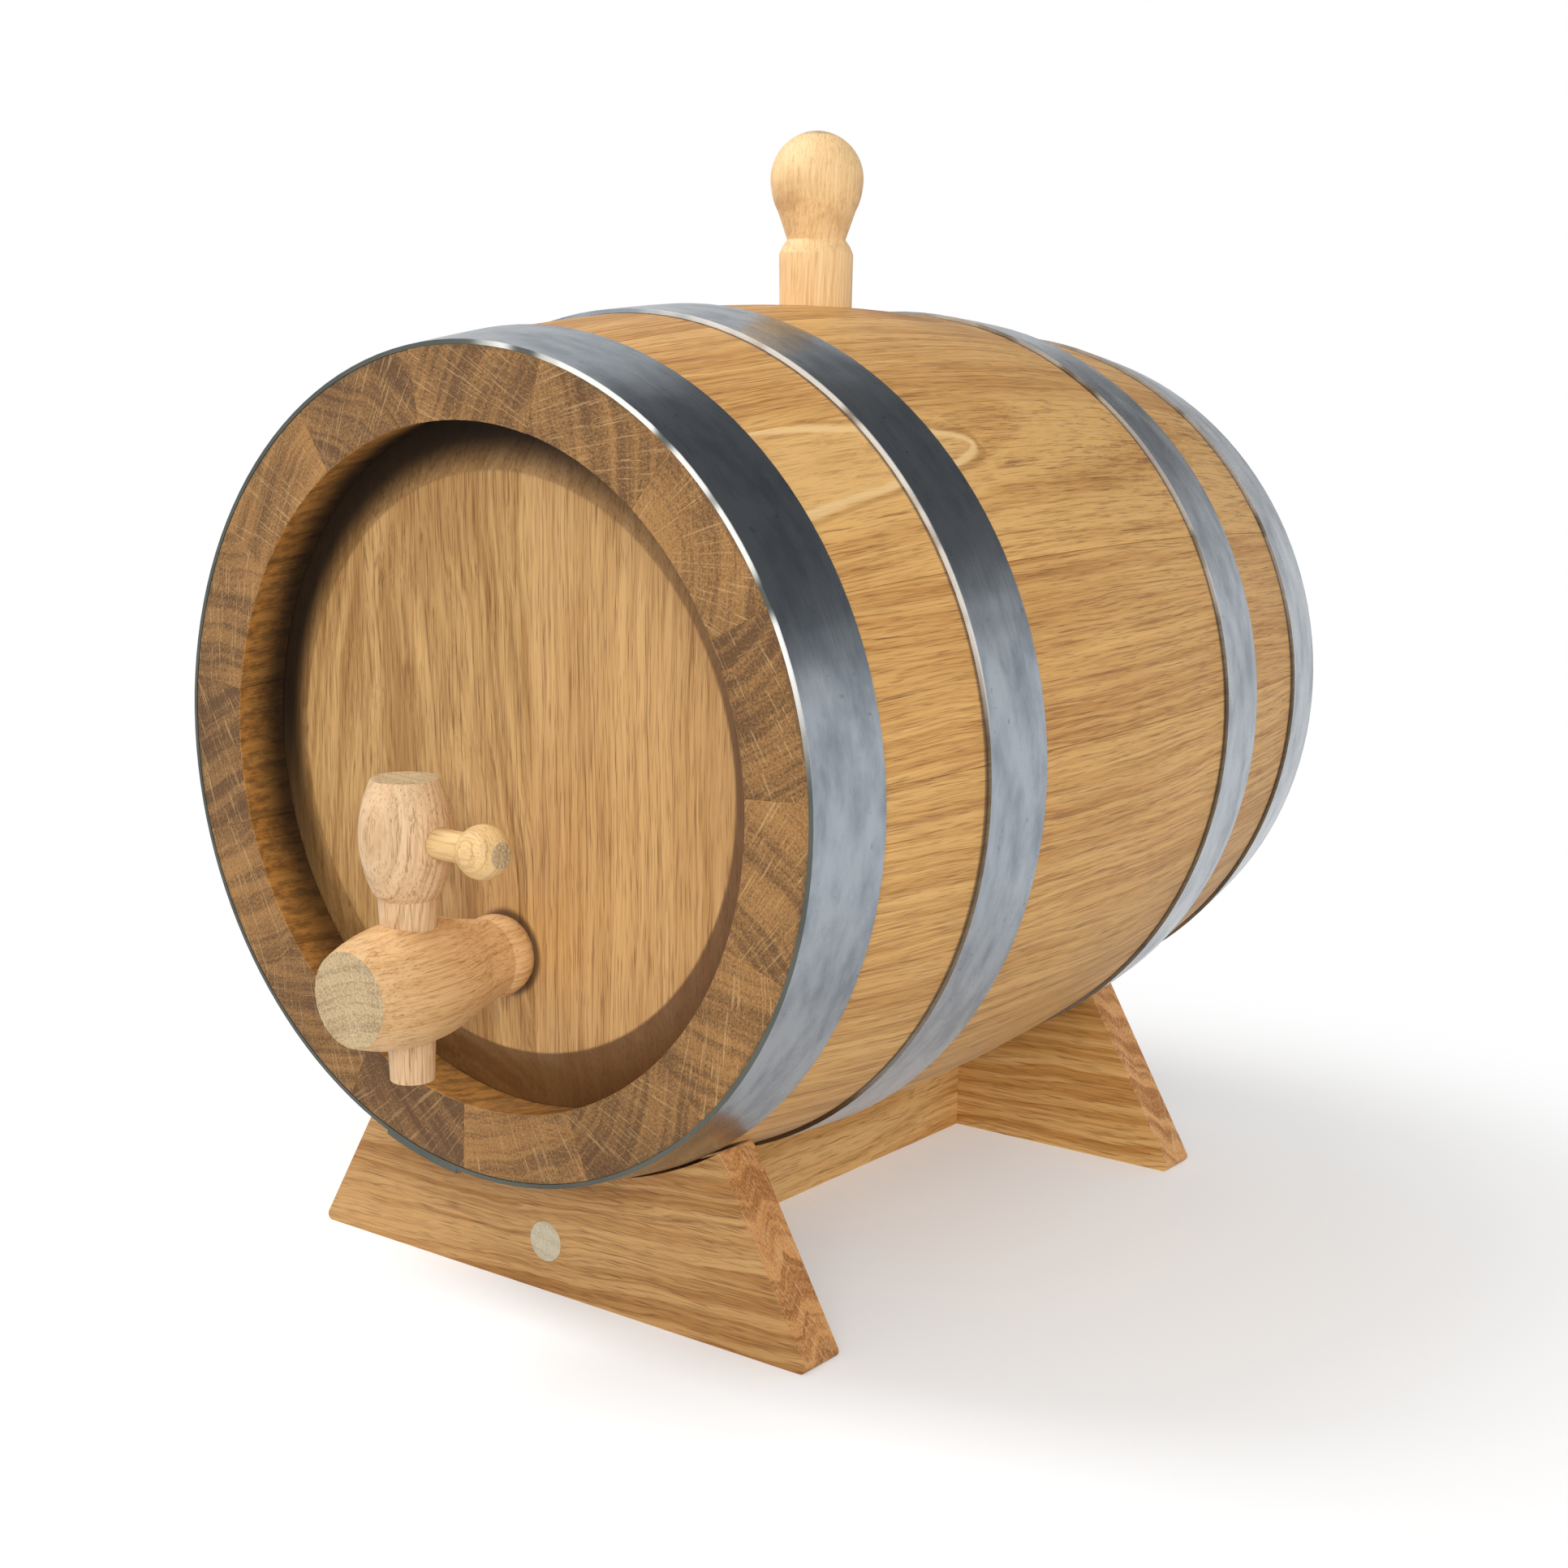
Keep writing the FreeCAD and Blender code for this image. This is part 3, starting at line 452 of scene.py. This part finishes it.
def makeSteel():
    finish = Finish("galvanised_steel")
    x, y, z = grainPlace(finish, *caskTurned(0))
    around = finish.maths("ARCTAN2", x, z) * 100  # about the arc from the top, in millimetres
    coarse, along = steelLook["smudge"]
    smudge = finish.noise(finish.vector(x * coarse, y * along, z * coarse), 4, 0.62)
    coarse, along = steelLook["rolled"]
    rolled = finish.noise(finish.vector(around * coarse, y * along, 0.0), 3, 0.6)
    fine = steelLook["flecks"]
    flecks = finish.noise(finish.vector(x * fine, y * fine, z * fine), 2, 0.5)
    flecks = finish.step(flecks, *steelLook["fleckEdge"])
    coarse, along = steelLook["dents"]
    dents = finish.noise(finish.vector(around * coarse, y * along, 0.0), 1, 0.5)
    dull = finish.step(smudge, *steelLook["dullEdge"])
    colour = finish.mix(dull, srgb(steelLook["bright"]), srgb(steelLook["dull"]))
    colour = finish.mix(flecks * steelLook["spotShare"], colour, srgb(steelLook["spot"]))
    lip = finish.step(finish.absolute(y), *steelLook["lipFrom"])
    colour = finish.mix(lip * steelLook["lipShare"], colour, srgb(steelLook["lip"]))

    # painted highlight on the front edges, from the top round to the right
    edge = finish.step(y, *steelLook["frontFrom"])
    for front, share in steelLook["fronts"]:
        edge = edge + finish.band(y - front, *steelLook["frontWidth"]) * share
    paintedGlint = finish.step(around, *steelLook["glintFrom"]) * finish.step(around, *steelLook["glintTo"])
    paintedGlint = paintedGlint * finish.step(dents, *steelLook["dentEdge"]) * edge
    colour = finish.mix(paintedGlint, colour, srgb(steelLook["paintedGlint"]))
    rough = steelLook["rough"] + (smudge - 0.5) * steelLook["smudgeRough"]
    rough = rough + (rolled - 0.5) * steelLook["rolledRough"] + lip * steelLook["lipRough"]
    height = rolled * steelLook["rolledDepth"] + dents
    metallic = 1 - paintedGlint * steelLook["glintMetal"]
    return finish.finishWith(colour, rough, height, steelLook["bump"], metallic)


steel = makeSteel()
for name in nodes:
    if "hoop" in name:
        dress(name, steel)
print("hoops dressed")


# widths in millimetres, by a word in the node's name
edgeWidths = {"stave": 0.3, "head": 0.3, "hoop": 0.2, "board": 0.6, "stretcher": 0.5, "tap": 0.35, "key": 0.3,
              "bung": 0.3, "dowel": 0.2}
edgeLook = {"weld": 0.000002, "angle": 28, "segments": 2, "weight": 60}


def softenEdges(name, width):
    piece = nodes[name]
    weld = piece.modifiers.new("weld", "WELD")
    weld.merge_threshold = edgeLook["weld"]
    bevel = piece.modifiers.new("bevel", "BEVEL")
    bevel.limit_method = "ANGLE"
    bevel.angle_limit = math.radians(edgeLook["angle"])
    bevel.width = width / 1000
    bevel.segments = edgeLook["segments"]
    bevel.use_clamp_overlap = True
    bevel.miter_outer = "MITER_ARC"
    normals = piece.modifiers.new("normals", "WEIGHTED_NORMAL")
    normals.keep_sharp = False
    normals.weight = edgeLook["weight"]


for name in nodes:
    width = next((width for word, width in edgeWidths.items() if word in name), None)
    if width and "pins" not in name and "rivets" not in name:
        softenEdges(name, width)
print("edges softened")


# size in metres, fade in millimetres from the middle of the part
floorLook = {"size": 6.0, "bounce": "D9D9D9", "grey": 0.88, "glow": 0.23, "fade": (150, 320), "white": 1.0}


def makeFloor():
    half = floorLook["size"] / 2
    corners = [(-half, -half, 0), (half, -half, 0), (half, half, 0), (-half, half, 0)]
    mesh = bpy.data.meshes.new("floor")
    mesh.from_pydata(corners, [], [(0, 1, 2, 3)])
    floor = bpy.data.objects.new("floor", mesh)
    scene.collection.objects.link(floor)
    finish = Finish("pale_floor")
    path = finish.node("LightPath")
    seen = finish.maths("MAXIMUM", path.other("Is Camera Ray"), path.other("Is Glossy Ray"))
    seen = finish.maths("MAXIMUM", seen, path.other("Is Transmission Ray"))
    plain = finish.node("BsdfDiffuse", None, {"Color": srgb(floorLook["bounce"])})
    shaded = finish.node("BsdfDiffuse", None, {"Color": (floorLook["grey"],) * 3 + (1,)})
    glow = finish.node("Emission", None, {"Color": (1, 1, 1, 1), "Strength": floorLook["glow"]})
    near = finish.node("AddShader", None, {0: shaded, 1: glow})
    x, y, z = grainPlace(finish)
    far = finish.step(finish.hypot(x, y), *floorLook["fade"])
    white = finish.node("Emission", None, {"Color": (1, 1, 1, 1), "Strength": floorLook["white"]})
    bright = finish.node("MixShader", None, {0: far, 1: near, 2: white})
    whole = finish.node("MixShader", None, {0: seen, 1: plain, 2: bright})
    finish.put(finish.tree.nodes["Material Output"].inputs["Surface"], whole)
    mesh.materials.append(finish.owner)


# reflections see the white sweep up to some way over the horizon, and a dark ceiling above it
studioLook = {"ceiling": (0.5, 0.14), "side": (-0.12, -0.45), "sideShare": 0.75, "sweep": 0.84, "least": 0.14,
              "plain": 0.5}


def makeWorld():
    world = bpy.data.worlds.new("studio")
    scene.world = world
    finish = Finish("studio", world)
    path = finish.node("LightPath")
    seen = path.other("Is Camera Ray")
    glossy = path.other("Is Glossy Ray")
    heading = finish.node("SeparateXYZ", None, {"Vector": finish.node("TexCoord")})
    side = finish.step(heading, *studioLook["side"]) * studioLook["sideShare"]
    sweep = finish.maths("MAXIMUM", finish.step(heading.other(2), *studioLook["ceiling"]), side)
    sweep = sweep * studioLook["sweep"] + studioLook["least"]
    strength = seen + (1 - seen) * (glossy * sweep + (1 - glossy) * studioLook["plain"])
    whole = finish.node("Background", None, {"Color": (1, 1, 1, 1), "Strength": strength})
    finish.put(finish.tree.nodes["World Output"].inputs["Surface"], whole)


lamps = {
    "softbox": {"place": (-0.75, -0.45, 1.15), "target": (0, 0, 0.12), "size": (0.7, 0.7), "power": 10},
    "fill": {"place": (0.85, -1.0, 0.55), "target": (0, 0, 0.1), "size": (0.9, 0.7), "power": 9.5},
}


def makeLamp(name, look):
    light = bpy.data.lights.new(name, "AREA")
    light.energy = look["power"]
    light.shape = "RECTANGLE"
    light.size, light.size_y = look["size"]
    lamp = bpy.data.objects.new(name, light)
    lamp.location = look["place"]
    towards = Vector(look["target"]) - Vector(look["place"])
    lamp.rotation_euler = towards.to_track_quat("-Z", "Y").to_euler()
    scene.collection.objects.link(lamp)


# solved from the photograph; lens and sensor in millimetres, the rest in metres
view = {"place": (0.33827, -0.459316, 0.200535), "lens": 48.6, "sensor": 36, "clip": 0.02,
        "right": (0.801208, 0.598163, 0.016478), "up": (-0.102869, 0.110556, 0.988535),
        "forward": (-0.589476, 0.793718, -0.15011)}


def makeCamera():
    lens = bpy.data.cameras.new("camera")
    lens.sensor_width = view["sensor"]
    lens.lens = view["lens"]
    lens.clip_start = view["clip"]
    camera = bpy.data.objects.new("camera", lens)
    axes = (Vector(view["right"]), Vector(view["up"]), -Vector(view["forward"]))
    camera.matrix_world = Matrix.Translation(view["place"]) @ Matrix(axes).transposed().to_4x4()
    scene.collection.objects.link(camera)
    scene.camera = camera


makeFloor()
makeWorld()
for name, look in lamps.items():
    makeLamp(name, look)
makeCamera()
scene.view_settings.view_transform = "Standard"
print("stage set")
